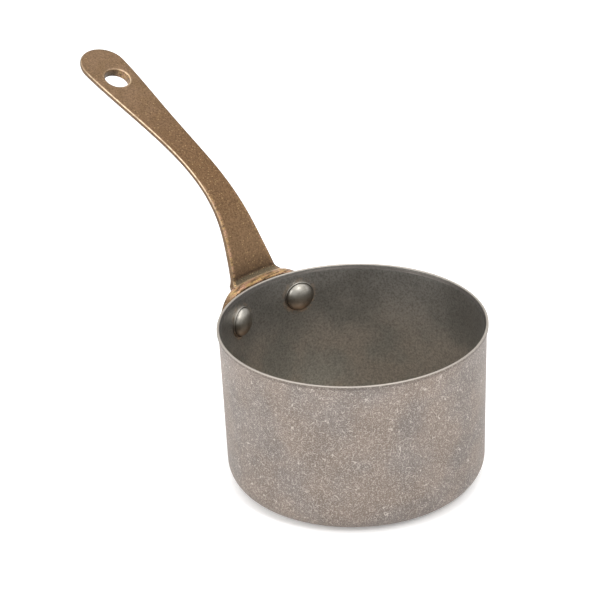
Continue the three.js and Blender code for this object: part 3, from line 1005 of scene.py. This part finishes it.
        # Where the strap meets the flange: painted shade in the crease and towards it, wear and a painted highlight
        # on the ledge's line, and patina in the hollow.
        crease = ridge(reach, 0.6, along) * upper
        line = ridge(brow, 0.2, along) * upper
        hollow = smooth(reach - 0.2, reach - 0.7, along) * smooth(brow - 0.3, brow + 0.2, along) * upper
        dim = smooth(*self.dim_span, along) * upper
        return {
            "worn": np.clip(shown * bevel + 0.25 * ring + 0.45 * line, 0.0, 1.0),
            "waist": smooth(*self.waist_span, along),
            "root": smooth(*self.root_span, along),
            "blush": np.clip((0.85 if left else 0.35) * band * low + line, 0.0, 1.0),
            "ash": 0.8 * hollow,
            "soot": np.clip(0.36 * crease + 0.3 * under + 0.32 * dim, 0.0, 1.0),
            # A corner at the root, bright with wear and a painted glint.
            "gilt": ridge(0.2, 0.7, along) * band * left,
        }

    def hole_wall(self, ring: Array, side: float) -> Surface:
        """Half of the hole's wall: the edge ring shrunk to the bore between two rounded chamfers.

        Args:
            ring: the hole's edge on the upper face, half a turn of (along, across) points.
            side: 1 for the left half and -1 for the right.

        Returns:
            The wall's surface.
        """
        ease = arc((0.0, self.hole_chamfer), (self.hole_chamfer,) * 2, -QUARTER, -math.pi, self.chamfer_steps)
        inset = np.concatenate([-ease[:, 0], -ease[::-1, 0]])
        depth = np.concatenate([ease[:, 1], self.thickness - ease[::-1, 1]])
        scale = 1.0 - inset / self.hole_edge
        along = self.hole_at + (ring[:, :1] - self.hole_at) * scale
        across = side * ring[:, 1:] * scale
        points = self.placed(along, across, np.broadcast_to(depth, along.shape))
        # The hole's wall is painted as lit on one side, with a warm highlight and a brighter chamfer there, and
        # painted shade on the far side, broken by streaks of painted sheen.
        turn = np.arctan2(across, along - self.hole_at)
        lit = smooth(0.1, 0.9, np.cos(turn + 1.9))
        streak = 0.5 + 0.5 * np.sin(9.0 * turn + 4.0 * np.sin(3.0 * turn) + 1.5 * depth)
        rounded = np.clip(1.0 - np.abs(np.arange(len(depth)) - 1.0) / 2.0, 0.0, 1.0)
        wall = smooth(0.2, 0.6, depth)
        return Surface.on_grid(points, worn=rounded * (0.12 + 0.42 * lit), waist=0.0, root=0.0, blush=0.7 * lit,
                               ash=wall * 0.7 * streak * (1.0 - lit),
                               soot=wall * (0.95 - 0.45 * lit - 0.25 * streak), gilt=0.0)


@dataclass
class Handle:
    """The handle, one casting: the flange and the strap that rises from it."""

    flange: Flange
    strap: Strap

    def build(self, finish: AntiquedBrass) -> bpy.types.Object:
        """Makes the handle and puts it in its node's place.

        Args:
            finish: of the handle.

        Returns:
            The handle.
        """
        handle = self.flange.surface().joined(self.strap.surface()).made("handle_casting", finish.material())
        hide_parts("handle")
        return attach(handle, BODY)


@dataclass
class Rivet:
    """A solid rivet: a domed head on a collar inside the cup, a shank, and a low tail behind the flange."""

    flange: Flange
    side: Side
    pitch: float = 28.0
    shank: float = 5.0
    head: float = 10.7
    collar: float = 0.6
    collar_edge: float = 0.2
    step: float = 0.45
    rise: float = 2.6
    tail: float = 7.0
    tail_rise: float = 1.8
    round_steps: int = 96
    dome_rows: int = 24
    edge_rows: int = 4
    tail_rows: int = 16

    @property
    def angle(self) -> float:
        """The rivet's place round the cup's axis."""
        return self.side.value * self.pitch / 2 / self.flange.cup.wall_radius(self.flange.middle)

    @property
    def foot(self) -> Point:
        """Where the rivet's axis meets the cup's lining."""
        lining = self.flange.cup.wall_radius(self.flange.middle) - self.flange.cup.sheet
        return lining * math.cos(self.angle), lining * math.sin(self.angle), self.flange.middle

    def profile(self) -> tuple[Array, Array, Array]:
        """The rivet's section, from the crown of the head to the crown of the tail.

        Returns:
            (radius, distance) points, what each distance is measured from (0 the head's face, 1 the cup's inside,
            2 the flange's outside), and how much each lies in the groove round the dome.
        """
        head, dome, tail, shank = self.head / 2, self.head / 2 - self.step, self.tail / 2, self.shank / 2
        edge = self.collar_edge
        crown = arc((0.0, 0.0), (dome, self.rise), -QUARTER, 0.0, self.dome_rows)
        groove = np.array([[dome + 0.05, 0.12], [dome + 0.12, 0.14], [dome + 0.2, 0.05]])
        rounded = arc((head - edge, edge), (edge, edge), -QUARTER, 0.0, self.edge_rows)
        back = np.array([[head, 0.0], [shank, 0.0]])
        foot = np.array([[shank, 0.0], [tail, 0.0]])
        cap = arc((0.0, 0.0), (tail, self.tail_rise), 0.0, QUARTER, self.tail_rows)[1:]
        points = np.concatenate([crown, groove, rounded, back, foot, cap])
        seat = np.repeat([0, 1, 2], [len(crown) + len(groove) + len(rounded), len(back), len(foot) + len(cap)])
        dark = np.zeros(len(points))
        # The groove's rows, where shade is painted.
        dark[len(crown) - 1:len(crown) + len(groove) - 1] = 1.0
        return points, seat, dark

    def surface(self) -> Surface:
        """The section turned about the rivet's axis, which runs out from the cup's axis.

        Distances start at the head's flat face, or at the cup's inside or the flange's outside, which are round:
        sqrt(R^2 - w^2) from the cup's axis at w to the side of the rivet's axis.

        Returns:
            The rivet's surface.
        """
        section, seat, dark = self.profile()
        cup, middle, angle = self.flange.cup, self.flange.middle, self.angle
        t = whole_turn(self.round_steps)
        radius, distance = section[:, :1], section[:, 1:]
        aside, up = radius * np.cos(t), radius * np.sin(t)
        lining = np.sqrt((cup.wall_radius(middle + up) - cup.sheet) ** 2 - aside**2)
        face = cup.wall_radius(middle) - cup.sheet - self.flange.seat - self.collar
        outside = np.sqrt(self.flange.outer_radius**2 - aside**2)
        out = distance + np.choose(seat[:, None], [np.full_like(aside, face), lining, outside])
        x = out * math.cos(angle) - aside * math.sin(angle)
        y = out * math.sin(angle) + aside * math.cos(angle)
        points = np.stack([x, y, middle + up], axis=-1)
        # Where a warm reflection is painted on the head's lower half.
        low = smooth(0.4, -0.8, up / (self.head / 2))
        return Surface.on_grid(points, around=True, groove=dark[:, None], low=low)

    def build(self, material: bpy.types.Material) -> bpy.types.Object:
        """Makes the rivet and puts it in its node's place.

        Args:
            material: the rivets' shared finish.

        Returns:
            The rivet.
        """
        rivet = self.surface().made(f"{self.side.name.lower()}_rivet", material)
        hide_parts(self.side.node)
        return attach(rivet, BODY)


# The studio


@dataclass(frozen=True)
class Softbox:
    """A square soft light that faces a point."""

    name: str
    place: Point
    aim: Point
    size: float
    power: float

    def build(self) -> None:
        """Hangs the light."""
        lamp = bpy.data.lights.new(self.name, "AREA")
        lamp.shape = "SQUARE"
        lamp.size = self.size * MM
        lamp.energy = self.power
        made = bpy.data.objects.new(self.name, lamp)
        made.location = Vector(self.place) * MM
        made.rotation_euler = (Vector(self.aim) - Vector(self.place)).to_track_quat("-Z", "Y").to_euler()
        bpy.context.scene.collection.objects.link(made)


@dataclass(frozen=True)
class Studio:
    """A pale floor, soft lights and a long lens that looks down into the pan."""

    eye: Point = (-647.99, 600.06, 507.03)
    gaze: Point = (0.66771, -0.59485, -0.44756)
    tilt: float = 0.0385077
    lens: float = 180.0
    sensor: float = 36.0
    sight_m: float = 20.0
    floor_size: float = 6000.0
    floor_tone: Colour = (0.93, 0.93, 0.93)
    floor_glow: float = 0.22
    floor_rough: float = 0.8
    floor_gap: float = 0.05
    sky: float = 0.85
    lights: tuple[Softbox, ...] = (
        Softbox("overhead", (0.0, 0.0, 1500.0), (0.0, 0.0, 0.0), 1800.0, 14.0),
        Softbox("left", (450.0, 1250.0, 700.0), (0.0, 0.0, 40.0), 900.0, 7.5),
        Softbox("right", (-1200.0, -500.0, 700.0), (0.0, 0.0, 40.0), 900.0, 1.5),
        Softbox("key", (-950.0, 180.0, 1180.0), (0.0, 0.0, 40.0), 320.0, 5.0),
    )

    def build(self) -> None:
        """Lays the floor, hangs the lights and sets up the camera."""
        scene = bpy.context.scene
        scene.view_settings.view_transform = "Standard"
        world = bpy.data.worlds.new("studio")
        world.use_nodes = True
        ground = world.node_tree.nodes["Background"]
        ground.inputs["Color"].default_value = (1.0, 1.0, 1.0, 1.0)
        ground.inputs["Strength"].default_value = self.sky
        scene.world = world
        for light in self.lights:
            light.build()
        self.floor()
        self.camera()

    def floor(self) -> None:
        """A plain square just under the pan."""
        half, level = self.floor_size / 2, -self.floor_gap
        square = np.array([[-half, -half, level], [half, -half, level], [half, half, level], [-half, half, level]])
        g = Graph("pale_floor")
        g.set(Base_Color=self.floor_tone, Roughness=self.floor_rough)
        g.set(Emission_Color=self.floor_tone, Emission_Strength=self.floor_glow)
        mesh = bpy.data.meshes.new("floor")
        mesh.from_pydata((square * MM).tolist(), [], [[0, 1, 2, 3]])
        mesh.materials.append(g.material)
        floor = bpy.data.objects.new("floor", mesh)
        bpy.context.scene.collection.objects.link(floor)

    def camera(self) -> None:
        """A camera at the eye that looks along the gaze, turned about it by the tilt."""
        data = bpy.data.cameras.new("camera")
        data.lens, data.sensor_width = self.lens, self.sensor
        data.clip_end = self.sight_m
        ahead = Vector(self.gaze).normalized()
        level = ahead.cross(Vector((0.0, 0.0, 1.0))).normalized()
        below = ahead.cross(level).normalized()
        right = level * math.cos(self.tilt) + below * math.sin(self.tilt)
        down = below * math.cos(self.tilt) - level * math.sin(self.tilt)
        turn = Matrix((right, -down, -ahead)).transposed().to_4x4()
        made = bpy.data.objects.new("camera", data)
        made.matrix_world = Matrix.Translation(Vector(self.eye) * MM) @ turn
        bpy.context.scene.collection.objects.link(made)
        bpy.context.scene.camera = made


def main() -> None:
    """Builds the pan and its studio, and reports each piece."""
    logging.basicConfig(level=logging.INFO, format="%(name)s: %(message)s")
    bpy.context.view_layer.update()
    cup = Cup()
    flange = Flange(cup)
    rivets = [Rivet(flange, side) for side in Side]
    rivet_finish = PolishedSteel().material()
    pieces = [
        cup.build(StoneWashedSteel(rivets=tuple(rivet.foot for rivet in rivets))),
        Handle(flange, Strap(flange)).build(AntiquedBrass()),
        *(rivet.build(rivet_finish) for rivet in rivets),
    ]
    for piece in pieces:
        LOG.info("%s: %d faces", piece.name, len(piece.data.polygons))
    Studio().build()


if __name__ == "__main__":
    main()
